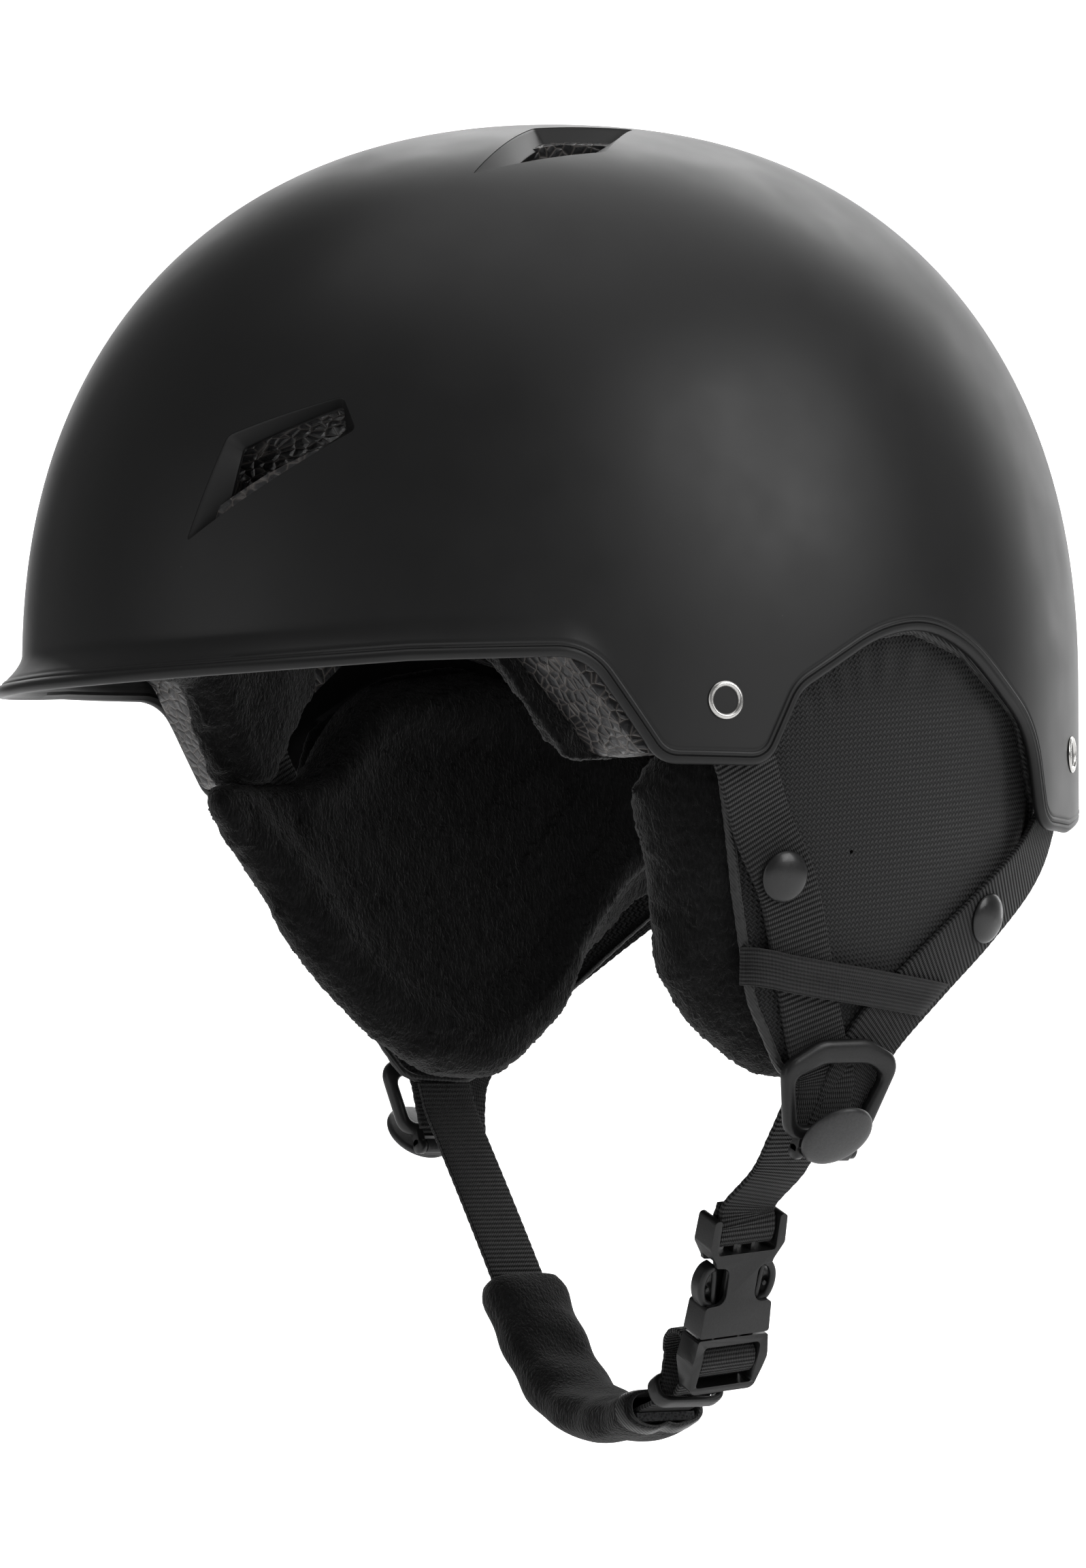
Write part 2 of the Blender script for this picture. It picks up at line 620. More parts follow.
def build_shell():
    """Outer skin, rounded rim with its double bead, and inner skin, as one closed mesh."""
    rim = rim_line()
    angle, z = rim[:, 0], rim[:, 1]
    speed = np.sqrt((HALF_WIDTH * np.cos(angle)) ** 2 + (reach_at(angle) * np.sin(angle)) ** 2)
    run = np.stack([(np.roll(angle, -1) - np.roll(angle, 1) + math.pi) % (2 * math.pi) - math.pi,
                    np.roll(z, -1) - np.roll(z, 1)], axis=1)
    run[:, 0] *= speed
    run = unit(run)
    nose = SHELL_WALL / 2
    bead = [(nose, 0), (1.75, 0), (2.05, -0.34), (2.35, -0.02), (2.7, 0.10), (3.0, 0.06),
            (3.3, -0.16), (3.6, 0.0)]
    rows, lifts, above = [], [], []
    for d, lift in bead:
        a = angle - run[:, 1] * d / speed
        rows.append((a, z + run[:, 0] * d))
        lifts.append(lift)
        above.append(np.full(len(a), d))
    a, top_z = rows[-1]
    for extra in (0.7, 1.4, 2.2, 3.0, 3.8, 4.6, 5.6, 6.8):
        rows.append((a, top_z + extra))
        lifts.append(0.0)
        above.append(np.full(len(a), bead[-1][0] + extra))
    start = climb_of(rows[-1][1])
    count = 62
    points = []
    for (row_angle, row_z), lift, height in zip(rows, lifts, above):
        p = shell_point(row_angle, climb_of(row_z))
        points.append(p + outward_at(row_angle) * (brim_flare(row_angle, height) + lift)[:, None])
    for k in range(1, count):
        share = k / count
        climb = start + (0.985 - start) * share
        p = shell_point(a, climb)
        reached = height + (climb - start) * CROWN
        points.append(p + outward_at(a) * brim_flare(a, reached)[:, None])
    points = np.array(points)
    across = np.roll(points, -1, axis=1) - np.roll(points, 1, axis=1)
    upward = np.gradient(points, axis=0)
    normal = unit(np.cross(across, upward))
    if np.sum(normal * points) < 0:
        normal = -normal
    inner = points[::-1] - normal[::-1] * SHELL_WALL
    first, down = points[0], unit(points[0] - points[1])
    centre = first - normal[0] * nose
    turn = [centre + (normal[0] * math.cos(t) + down * math.sin(t)) * nose
            for t in np.linspace(math.pi, 0, 9)[1:-1]]
    rows = np.concatenate([inner, np.array(turn), points])
    shell = grid("shell_outer", rows, SHELL, BODY, caps=True)
    tidy_normals(shell)
    return shell


# Each vent is its scoop outline and its hole outline, as points on or under the left of the shell:
# (x, y, z, depth below the surface). Corners match one to one.
FRONT_VENT = ([(37.8, -130.3, 25.1, 0), (42.5, -121.9, 50.3, 0), (62.3, -102.4, 58.9, 0),
               (66.5, -101.4, 50.8, 0)],
              [(44.6, -126.5, 31.5, 5.0), (45.0, -121.2, 48.6, 4.2), (62.2, -102.8, 57.6, 2.8),
               (63.6, -103.2, 51.8, 4.6)])
TOP_VENT = ([(46.5, -56.0, 117.1, 0), (51.0, -20.0, 125.0, 0), (31.0, 2.0, 135.0, 0),
             (27.0, -25.0, 133.5, 0)],
            [(46.5, -45.5, 120.5, 3.4), (46.8, -22.5, 126.8, 3.4), (33.0, -6.0, 133.2, 4.6),
             (30.5, -24.0, 132.4, 4.4)])


def onto_shell(point, depth=0.0):
    """The nearest point to this one on the shell's outer form, moved in by depth."""
    p = np.array(point[:3], float)
    p[2] = max(p[2], 0.1)
    for _ in range(12):
        reach = reach_by(p[1])
        flat = math.hypot(p[0] / HALF_WIDTH, (p[1] - WIDEST_Y) / reach)
        value = flat ** FULLNESS + (p[2] / CROWN) ** FULLNESS - 1
        slope = np.array([flat ** (FULLNESS - 2) * p[0] / HALF_WIDTH ** 2,
                          flat ** (FULLNESS - 2) * (p[1] - WIDEST_Y) / reach ** 2,
                          p[2] ** (FULLNESS - 1) / CROWN ** FULLNESS]) * FULLNESS
        p = p - slope * value / (slope @ slope)
    return p - unit(slope) * depth, unit(slope)


def loop_points(corners, radius, side):
    """A vent outline with softened corners, on the shell, at its own depths."""
    dense = []
    n = len(corners)
    for i in range(n):
        a, b = np.array(corners[i], float), np.array(corners[(i + 1) % n], float)
        before = np.array(corners[i - 1], float)
        length = np.linalg.norm((b - a)[:3])
        cut = min(radius / length, 0.3)
        cut_before = min(radius / np.linalg.norm((before - a)[:3]), 0.3)
        start, end = a + (before - a) * cut_before, a + (b - a) * cut
        for k in range(5):
            t = k / 4
            dense.append(start * (1 - t) ** 2 + a * 2 * t * (1 - t) + end * t ** 2)
        for k in range(1, 9):
            dense.append(end + (b - (b - a) * cut - end) * k / 9)
    out = [onto_shell(p, p[3]) for p in dense]
    points = mirror_points([p for p, _ in out], side)
    normals = mirror_points([n for _, n in out], side)
    return points, normals


def cut_vents(shell):
    """Opens each vent through the shell and fits its sloping scoop below the surface."""
    for side in ("left", "right"):
        for name, (scoop, hole) in (("front", FRONT_VENT), ("top", TOP_VENT)):
            edge, normal = loop_points(scoop, 1.6, side)
            carve(shell, np.vstack([edge + normal * 4, edge - normal * 6]))
            lip, _ = loop_points(hole, 1.0, side)
            middle = edge.mean(axis=0)
            outer = edge + unit(edge - middle) * 0.35
            rows = [outer - normal * 2.2, outer - normal * 0.55, edge - normal * 0.12]
            rows += [edge * (1 - t) + lip * t - normal * 0.12 * (1 - t)
                     for t in (0.12, 0.35, 0.65, 0.92, 1.0)]
            rows += [lip - normal * 0.5, lip + unit(lip - middle) * 0.6 - normal * 1.6]
            scoop_piece = grid(f"vent_scoop_{name}_{side}", rows, SHELL, BODY)
            tidy_normals(scoop_piece)
            bevelled(scoop_piece, 0.35, 2, 28)


shell = build_shell()
cut_vents(shell)
shell.data.shade_smooth()
edge_normals = shell.modifiers.new("split", "EDGE_SPLIT")
edge_normals.split_angle = math.radians(38)
apply_modifiers(shell)
stand_in(shell, "shell_plastic", "outer_shell")


# ---- carried-over parts ----------------------------------------------------------------------
def finish_node(node, material):
    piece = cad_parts[node]
    piece.data.materials.clear()
    piece.data.materials.append(material)


finish_node("foam_liner", BEADS)
finish_node("hook_patches", HOOKS)
finish_node("rivet_washers", NICKEL)
finish_node("chin_pad_foam", FOAM)
for side in ("left", "right"):
    finish_node(f"{side}_lock_pin", NICKEL)


# ---- stuffed pieces --------------------------------------------------------------------------
def coordinates(piece):
    out = np.zeros(len(piece.data.vertices) * 3)
    piece.data.vertices.foreach_get("co", out)
    return out.reshape(-1, 3)


def set_coordinates(piece, points):
    piece.data.vertices.foreach_set("co", np.asarray(points, float).ravel())
    piece.data.update()


def stuff(piece, most_mm, pressure=4.0):
    """Fills a closed cloth skin, and holds each point within most_mm of where it began."""
    rest = coordinates(piece)
    cloth = piece.modifiers.new("stuffing", "CLOTH")
    cloth.settings.use_pressure = True
    cloth.settings.uniform_pressure_force = pressure
    cloth.settings.effector_weights.gravity = 0
    cloth.settings.quality = 4
    cloth.settings.mass = 0.25
    cloth.point_cache.frame_start, cloth.point_cache.frame_end = 1, 20
    for moment in range(1, 21):
        bpy.context.scene.frame_set(moment)
    baked = piece.evaluated_get(bpy.context.evaluated_depsgraph_get()).to_mesh()
    filled = np.array([v.co for v in baked.vertices])
    piece.modifiers.clear()
    bpy.context.scene.frame_set(1)
    change = filled - rest
    length = np.maximum(np.linalg.norm(change, axis=1, keepdims=True), 1e-9)
    set_coordinates(piece, rest + change * np.minimum(1, most_mm * MM / length))


def soft_finish(piece, levels=1, nap=0.5, seed=1):
    """Rounds a stuffed piece, and lifts its pile unevenly."""
    rounded_off = piece.modifiers.new("round", "SUBSURF")
    rounded_off.levels = rounded_off.render_levels = levels
    apply_modifiers(piece)
    piece.data.shade_smooth()
    if nap:
        chance = np.random.default_rng(seed)
        points = coordinates(piece)
        normals = np.array([v.normal for v in piece.data.vertices])
        lift = chance.normal(0, nap * 0.35, len(points)).clip(-nap, nap)
        set_coordinates(piece, points + normals * lift[:, None] * MM)


def remeshed(piece, voxel):
    made = piece.modifiers.new("remesh", "REMESH")
    made.mode = "VOXEL"
    made.voxel_size = voxel * MM
    apply_modifiers(piece)


LINER_EDGE = ([-185, -64, -44, -34, -24, -6], [3, 3, -24.5, -24.5, -4, 11])


def roll_over_rim(piece):
    """The brow pad's lower edge rolls outward under the foam liner's rim."""
    points = coordinates(piece) / MM
    hang = np.clip((np.interp(points[:, 1], *LINER_EDGE) + 1.2 - points[:, 2]) / 3.2, 0, 1)
    reach = reach_by(points[:, 1])
    away = unit(np.stack([points[:, 0] / HALF_WIDTH ** 2, (points[:, 1] - WIDEST_Y) / reach ** 2,
                          0 * reach], axis=1))
    set_coordinates(piece, (points + away * (hang * 6.0)[:, None]) * MM)


def lining_pad(node, most):
    """A comfort pad from its CAD form: remeshed, filled and napped."""
    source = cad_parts[node].data.copy()
    piece = bpy.data.objects.new(f"{node}_plush", source)
    bpy.context.collection.objects.link(piece)
    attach(piece, BODY)
    source.materials.clear()
    source.materials.append(PLUSH)
    remeshed(piece, 3.6 if node == "brow_pad" else 4.5)
    normals = np.array([v.normal for v in piece.data.vertices])
    set_coordinates(piece, coordinates(piece) - normals * 0.7 * MM)
    if node == "brow_pad":
        roll_over_rim(piece)
    stuff(piece, most)
    soft_finish(piece, 2, 0.45, len(node))
    stand_in(piece, "plush", node)


for node, fill, most in (("brow_pad", 0.6, 3.0), ("crown_pad", 0.5, 2.5), ("rear_pad", 0.5, 2.5),
                         ("neck_roll", 0.7, 3.0)):
    lining_pad(node, most)


# ---- ear pads --------------------------------------------------------------------------------
def ear_x(y, z, inset):
    share = np.clip((y - WIDEST_Y) / (REAR_REACH - inset), -0.999, 0.999)
    return (HALF_WIDTH - inset - EAR_TAPER * np.maximum(0, EAR_BEND_Z - z)) * np.sqrt(1 - share ** 2)


def radii(outline, angles):
    """Distance from the ear centre to the outline in each direction."""
    line = resample(rounded(outline), 1200, closed=True) - np.array(EAR_CENTRE)
    turn = np.arctan2(line[:, 1], line[:, 0])
    order = np.argsort(turn)
    reach = np.linalg.norm(line, axis=1)[order]
    return np.interp(angles, turn[order], reach, period=2 * math.pi)


def polar(angles, reach, inset):
    """Points on the ear pad's curved sheet, reach mm from its centre."""
    y = EAR_CENTRE[0] + np.cos(angles) * reach
    z = EAR_CENTRE[1] + np.sin(angles) * reach
    return np.stack([ear_x(y, z, inset), y, z], axis=-1)


# The plush cushion's section: (share of the reach, mm inward from the pad's outer face, how far the
# outline has changed from the panel's to the face side's).
CUSHION = [(0.30, 2.2, 0), (0.60, 2.2, 0), (0.85, 2.2, 0), (0.955, 2.4, 0), (0.985, 4.2, 0.1),
           (1.0, 7.5, 0.4),
           (1.008, 11.0, 0.8), (1.0, 15.0, 1), (0.985, 18.5, 1), (0.95, 21.4, 1), (0.89, 23.3, 1),
           (0.82, 23.8, 1), (0.755, 23.0, 1), (0.70, 21.6, 1), (0.65, 20.9, 1), (0.58, 21.2, 1),
           (0.45, 21.5, 1),
           (0.25, 21.6, 1), (0.08, 21.6, 1)]


def ear_cushion(side):
    angles = np.linspace(-math.pi, math.pi, 150, endpoint=False)
    panel_reach = radii(PANEL, angles) - 1.2
    face_reach = radii(PLUSH_REAR + PLUSH_FRONT[side], angles)
    waves = 1 + 0.006 * np.sin(angles * 7 + 1) + 0.004 * np.sin(angles * 19)
    rows = []
    for share, inward, change in CUSHION:
        reach = (panel_reach * (1 - change) + face_reach * change * waves) * share
        rows.append(polar(angles, reach, EAR_INSET + inward))
    piece = grid(f"{side}_ear_cushion", mirror_points(rows, side), PLUSH, BODY, caps=True)
    tidy_normals(piece)
    remeshed(piece, 4.5)
    stuff(piece, 2.2, 3.0)
    soft_finish(piece, 2, 0.5, 7 if side == "left" else 8)
    stand_in(piece, "plush", f"{side}_ear_plush", f"{side}_ear_foam")


def ear_panel(side):
    """Woven outer sheet, puffed by the foam and gathered along its top seam."""
    angles = np.linspace(-math.pi, math.pi, 360, endpoint=False)
    reach = radii(PANEL, angles) - 1.4
    upward = np.clip(np.sin(angles), 0, 1)
    rows = []
    for share in np.concatenate([np.linspace(0.01, 0.8, 22), np.linspace(0.82, 1.0, 12)]):
        edge = np.clip((share - 0.72) / 0.28, 0, 1)
        puff = 1.5 * (1 - share ** 6)
        gathers = 0.22 * edge * (1 - edge) * 4 * upward * np.sin(angles * 29 + 4 * np.sin(angles * 3 + 1))
        rows.append(polar(angles, reach * share, EAR_INSET + 0.9 - puff - gathers))
    rows.append(polar(angles, reach, EAR_INSET + 2.6))
    points = mirror_points(rows, side)
    piece = grid(f"{side}_ear_cloth", points, CANVAS, BODY)
    flat = piece.data.uv_layers[0].data
    for loop in piece.data.loops:
        place = piece.data.vertices[loop.vertex_index].co
        flat[loop.index].uv = (place.y, place.z)
    tidy_normals(piece)
    stand_in(piece, "ear_fabric", f"{side}_ear_panel")


def ear_binding(side):
    """Satin piping round the panel: wide where the pad's top and back show, narrow at the front."""
    line = resample(rounded(PANEL), 420, closed=True)
    run = unit(np.roll(line, -1, axis=0) - np.roll(line, 1, axis=0))
    outward = np.stack([run[:, 1], -run[:, 0]], axis=1)
    if np.sum(outward * (line - np.array(EAR_CENTRE))) < 0:
        outward = -outward
    top = np.clip((line[:, 1] + 40) / 18, 0, 1)
    radius = 1.15 + 0.95 * top
    rows = []
    stitches = np.arange(len(line))
    for turn in np.linspace(0, 2 * math.pi, 12, endpoint=False):
        swell = 1 + 0.05 * np.sin(stitches * 1.3) + 0.03 * np.sin(stitches * 2.9 + 1)
        flat = line + outward * (radius * (math.cos(turn) * swell - 0.75))[:, None]
        x = ear_x(flat[:, 0], flat[:, 1], EAR_INSET + 0.5) + radius * 0.9 * math.sin(turn) * swell
        rows.append(np.stack([x, flat[:, 0], flat[:, 1]], axis=1))
    rows.append(rows[0])
    piece = grid(f"{side}_ear_piping", mirror_points(rows, side), SATIN, BODY)
    tidy_normals(piece, weld=True)
    stand_in(piece, "satin_binding", f"{side}_ear_binding")


for side in ("left", "right"):
    ear_cushion(side)
    ear_panel(side)
    ear_binding(side)


# ---- straps ----------------------------------------------------------------------------------
def wall_x(y):
    return HALF_WIDTH * math.sqrt(1 - ((y - WIDEST_Y) / reach_by(y)) ** 2)


def wall_normal(y):
    return unit([wall_x(y) / HALF_WIDTH ** 2, (y - WIDEST_Y) / reach_by(y) ** 2, 0])


def on_wall(y, z, depth=4.0):
    return np.array([wall_x(y), y, z]) - wall_normal(y) * depth


def on_pad(y, z, lift=1.6):
    return np.array([float(ear_x(y, z, EAR_INSET)) + lift, y, z])


def pad_outward(y):
    return unit([math.cos(0.215), (y - WIDEST_Y) / 150, -math.sin(0.215)])


FRONT_STRAP = ([on_wall(-28.5, -1.5), on_wall(-24.9, -11.8), on_wall(-18.5, -24), on_pad(-7.8, -40),
                on_pad(1.4, -55, 2.0), on_pad(9, -74, 1.9), on_pad(15.4, -90), (86.2, 19.2, -98.5),
                (84.4, 20, -106), (82.0, 20.2, -112.5)],
               [wall_normal(-25)] * 3 + [pad_outward(0)] * 6 + [unit([0.8, 0, -0.6])])
REAR_STRAP = ([on_wall(106.2, -8), on_wall(104, -19), on_wall(99.5, -34, 5.2), (79, 87, -47), REAR_SNAP,
               (86.4, 52, -74), (87.2, 36.6, -87), (86.4, 28.6, -97.5), (84.0, 25.6, -106.5),
               (81.6, 24.0, -112.8)],
              [wall_normal(104)] * 3 + [unit(v) for v in ((.86, .46, -.2), REAR_SNAP_FACE, (.95, .2, -.22),
                                                          (.97, .1, -.22), (.95, .05, -.3), (.9, 0, -.4),
                                                          (.8, 0, -.6))])
# The elastic's line along the pad: (y, z, lift off the pad) from the fold round the pad's front edge to
# the fold round the rear strap.
ELASTIC_LINE = [(-5.2, -73.4, -3.0), (-7.3, -73.5, -0.6), (-7.5, -73.6, 1.8), (-5.3, -73.8, 3.4),
                (-1, -74.4, 4.0),
                (4, -75.3, 4.1), (14, -76.6, 3.9), (28, -78.2, 3.9), (42, -79.8, 4.1), (49, -80.6, 4.2),
                (52.4, -81, 3.5), (53.2, -81.1, 1.9), (50.5, -80.8, 0.6)]
ELASTIC_WIDTH, ELASTIC_THICK = 9.4, 1.1
SNAP_FRONT = (on_pad(*FRONT_SNAP) + pad_outward(0) * 1.25, pad_outward(0))
SNAP_REAR = (np.array(REAR_SNAP) + unit(REAR_SNAP_FACE) * 0.75, unit(REAR_SNAP_FACE))


def strap(name, stations, side):
    """A side strap with knobbly woven selvedges."""
    path, faces = (mirror_points(part, side) for part in stations)
    section = flat_section(WEB_WIDTH, WEB_THICK)
    return swept(name, path, faces, section, WEBBING, BODY, WEB_STEP, ripple=SELVEDGE)


SNAP_PROFILE = [(0.02, 2.55), (1.6, 2.48), (3.2, 2.22), (4.6, 1.82), (5.4, 1.45), (5.95, 1.02),
                (6.25, 0.72),
                (6.3, 0.48), (6.15, 0.22), (5.7, 0.05), (5.0, 0.0), (1.8, 0.0), (1.7, -3.1), (0.02, -3.2)]


def snap(name, place, side):
    centre, outward = (mirror_points(v, side) for v in place)
    return revolved(name, SNAP_PROFILE, centre, outward, LACQUER, BODY, 64)


RIVET_PROFILE = [(0.02, -1.5), (2.0, -1.45), (2.55, -1.3), (2.9, -0.9), (3.1, -0.2), (3.25, 0.25),
                 (3.5, 0.55),
                 (3.8, 0.66), (4.25, 0.56), (4.55, 0.32), (4.6, 0.06), (4.2, -0.02), (3.9, -0.1),
                 (3.85, -6.0),
                 (0.02, -6.0)]


def joined(name, pieces):
    """Several meshes as one piece."""
    shape = bmesh.new()
    for piece in pieces:
        shape.from_mesh(piece.data)
    first = pieces[0]
    shape.to_mesh(first.data)
    shape.free()
    for piece in pieces[1:]:
        bpy.data.objects.remove(piece)
    first.name = name
    first.data.shade_smooth()
    return first


def elastic_band(side):
    """Ribbed elastic over both straps; its rear fold slants along the rear strap's edge."""
    line = spline(ELASTIC_LINE, 0.8)
    slant = np.clip((line[:, 0] - 20) / 32, 0, 1)
    rows = []
    outline = flat_section(ELASTIC_WIDTH, ELASTIC_THICK, 0.4, 18)
    faces = unit(np.gradient(line, axis=0))
    for (across, out) in outline:
        rib = 0.10 * math.cos(across / ELASTIC_WIDTH * 2 * math.pi * 9) * np.sign(out)
        y = line[:, 0] + across * slant * 1.0 - across * 0.12 * (1 - slant)
        z = line[:, 1] + across * 0.97 - across * slant * 0.12
        lift = line[:, 2] + (out + rib) * np.abs(faces[:, 0]) ** 0.5
        y = y - (out + rib) * faces[:, 2]
        x = ear_x(y, z, EAR_INSET) + lift
        rows.append(np.stack([x, y, z], axis=1))
    rows = np.transpose(np.array(rows), (1, 0, 2))
    piece = grid(f"{side}_elastic_tape", mirror_points(rows, side), ELASTIC, BODY, caps=True)
    tidy_normals(piece)
    return piece


for side in ("left", "right"):
    for end, stations in (("front", FRONT_STRAP), ("rear", REAR_STRAP)):
        stand_in(strap(f"{side}_{end}_webbing", stations, side), "webbing", f"{side}_{end}_strap")
    stand_in(elastic_band(side), "elastic", f"{side}_elastic_band")
    caps = joined(f"{side}_snaps", [snap(f"{side}_snap_front", SNAP_FRONT, side),
                                    snap(f"{side}_snap_rear", SNAP_REAR, side)])
    stand_in(caps, "snap_lacquer", f"{side}_snap_caps")

for name, (y, z) in (("front", FRONT_RIVET), ("rear", REAR_RIVET)):
    pair = []
    for side in ("left", "right"):
        centre, outward = mirror_points([wall_x(y), y, z], side), mirror_points(wall_normal(y), side)
        pair.append(revolved(f"{name}_rivet_{side}", RIVET_PROFILE, centre, outward, NICKEL, BODY, 56))
    stand_in(joined(f"{name}_rivet_pair", pair), "rivet_steel", f"{name}_rivets")


# ---- strap dividers --------------------------------------------------------------------------
RING_CENTRE, RING_OUT = np.array([87.6, 22.0, -103.0]), unit([0.972, 0, -0.235])
RING_UP = np.cross(RING_OUT, [0, 1.0, 0])
# The ring's outlines as (across, up, corner radius) from its centre.
RING_OUTER = [(-17.5, 6.2, 4.5), (-7, 12.4, 9), (7, 12.9, 9), (17.5, 8.2, 4.5), (10, -12, 5),
              (-13.6, -12, 5)]
RING_INNER = [(-13.6, 3.0, 2.5), (-5, 6.6, 8), (8, 6.8, 8), (12.6, 4.2, 2.5), (6.8, -8.6, 2),
              (-10.9, -8.6, 2.5)]
HINGE = np.array([83.2, 21.0, -117.4])
LOCK_OUT = unit([0.70, 0, -0.714])
LOCK_UP = np.cross(LOCK_OUT, [0, 1.0, 0])
LOCK_R = 9.4
if RING_UP[2] < 0:
    RING_UP = -RING_UP
if LOCK_UP[2] < 0:
    LOCK_UP = -LOCK_UP


def framed(points, origin, across, up, outward):
    """Local (across, up, outward) points in the row's frame."""
    points = np.asarray(points, float)
    return np.asarray(origin) + points[..., :1] * np.asarray(across) + points[..., 1:2] * np.asarray(up) \
        + points[..., 2:3] * np.asarray(outward)


def frame_between(name, outer, inner, half, place, material, body, count=140, soft=0.75):
    """A moulded frame with a rounded section, between an outer and an inner outline."""
    a, b = resample(rounded(outer), count * 6, True), resample(rounded(inner), count * 6, True)
    centre = (a.mean(axis=0) + b.mean(axis=0)) / 2
    angles = np.linspace(-math.pi, math.pi, count, endpoint=False)

    def reach(line):
        local = line - centre
        turn = np.arctan2(local[:, 1], local[:, 0])
        order = np.argsort(turn)
        return np.interp(angles, turn[order], np.linalg.norm(local, axis=1)[order], period=2 * math.pi)
    far, near = reach(a), reach(b)
    rows = []
    for turn in np.linspace(0, 2 * math.pi, 20, endpoint=False):
        c, s = math.cos(turn), math.sin(turn)
        u, v = math.copysign(abs(c) ** soft, c), math.copysign(abs(s) ** soft, s)
        r = (far + near) / 2 + (far - near) / 2 * u
        rows.append(np.stack([centre[0] + r * np.cos(angles), centre[1] + r * np.sin(angles),
                              np.full(count, half * v)], axis=1))
    rows.append(rows[0])
    piece = grid(name, framed(rows, *place), material, body)
    tidy_normals(piece, weld=True)
    return piece


def plate(name, outline, low, high, place, material, body, bevel=0.6):
    """A flat moulded plate with rounded edges."""
    line = rounded(outline, arc_points=7)
    verts = framed([(*p, z) for z in (low, high) for p in line], *place)
    piece = make(name, verts, prism_faces(len(line)), material, body)
    tidy_normals(piece)
    if bevel:
        bevelled(piece, bevel, 3, 40)
    return piece


def rod(name, a, b, radius, material, body, ends=0.0):
    a, b = np.array(a, float), np.array(b, float)
    length = np.linalg.norm(b - a)
    profile = [(0.02, 0), (radius - ends, 0), (radius, ends), (radius, length - ends),
               (radius - ends, length), (0.02, length)]
    return revolved(name, profile, a, b - a, material, body, 28)


def oriented_box(name, origin, across, up, outward, size, material, body, bevel=0.5):
    w, h, d = (s / 2 for s in size)
    outline = [(-w, -h, 0), (w, -h, 0), (w, h, 0), (-w, h, 0)]
    return plate(name, outline, -d, d, (origin, across, up, outward), material, body, bevel)


def divider(side):
    place = [mirror_points(v, side) for v in (RING_CENTRE, [0, 1.0, 0], RING_UP, RING_OUT)]
    place[1] = np.array([0, 1.0, 0])
    parts = [frame_between(f"{side}_ring", RING_OUTER, RING_INNER, 1.7, place, PLASTIC, BODY)]
    hinge = mirror_points(HINGE, side)
    for shift in (-7.9, 7.9):
        y = HINGE[1] + shift
        ends = [(hinge[0], y + half, hinge[2]) for half in (-1.2, 1.2)]
        parts.append(rod(f"{side}_lug_{y}", *ends, 2.1, PLASTIC, BODY, 0.4))
        tilt = unit(mirror_points(RING_UP * 0.9 + RING_OUT * 0.15, side))
        middle = hinge + tilt * 2.6
        middle[1] = y
        parts.append(oriented_box(f"{side}_neck_{y}", middle, (0, 1, 0), tilt, np.cross((0, 1, 0), tilt),
                                  (2.4, 5.4, 3.0), PLASTIC, BODY, 0.4))
    piece = joined(f"{side}_divider_frame", parts)
    tidy_normals(piece)
    stand_in(piece, "moulded_plastic", f"{side}_divider")


LOCK_PROFILE = [(0.02, 3.15), (3.0, 3.08), (5.4, 2.85), (7.3, 2.5), (8.4, 2.15), (9.0, 1.75), (9.32, 1.2),
                (9.3, 0.7), (8.9, 0.25), (8.2, 0.02), (0.02, 0.0)]


def lock(side):
    """Round lock button, satin faced, with its hinge knuckle and the web between them."""
    hinge, up, out = (mirror_points(v, side) for v in (HINGE, LOCK_UP, LOCK_OUT))
    body = f"{side}_lock"
    centre = hinge + up * (LOCK_R - 0.6) + out * 2.6 - np.array([0, 2.4, 0])
    parts = [revolved(f"{side}_disc", LOCK_PROFILE, centre, out, LOCK_FACE, body, 72),
             rod(f"{side}_knuckle", hinge - (0, 6.4, 0), hinge + (0, 6.4, 0), 1.9, LOCK_FACE, body, 0.3),
             oriented_box(f"{side}_web", hinge + up * 1.2 + out * 1.7, (0, 1, 0), up, out,
                          (12.6, 3.4, 3.2), LOCK_FACE, body, 0.4)]
    piece = joined(f"{side}_lock_disc", parts)
    tidy_normals(piece)
    stand_in(piece, "moulded_plastic", f"{side}_lock_button")


LOCK_FACE = moulded("moulded_satin_face", 0.036, 0.36, 0.035)
for side in ("left", "right"):
    divider(side)
    lock(side)


# ---- buckle ----------------------------------------------------------------------------------
BUCKLE_TOP, BUCKLE_FOOT = np.array([54.6, 18.0, -134.0]), np.array([37.0, 22.6, -176.5])
ALONG = unit(BUCKLE_TOP - BUCKLE_FOOT)
OUTWARD = unit([ALONG[2], 0, -ALONG[0]])
ACROSS = np.cross(ALONG, OUTWARD)
HALF_BUCKLE, BUCKLE_THICK, BAR_R = 11.0, 7.6, 1.4
SOCKET_LENGTH, PLUG_LENGTH = 30.0, 15.5
PLUG_TOP = -SOCKET_LENGTH - 0.5
PLUG_BAR = PLUG_TOP - 6.6
IN_BUCKLE = (BUCKLE_TOP, ACROSS, ALONG, OUTWARD)


def at_buckle(y, z):
    return BUCKLE_TOP + ALONG * y + OUTWARD * z


def both_sides(half):
    """A closed outline from its left half, mirrored to the right."""
    return half + [(-x, y, r) for x, y, r in reversed(half)]


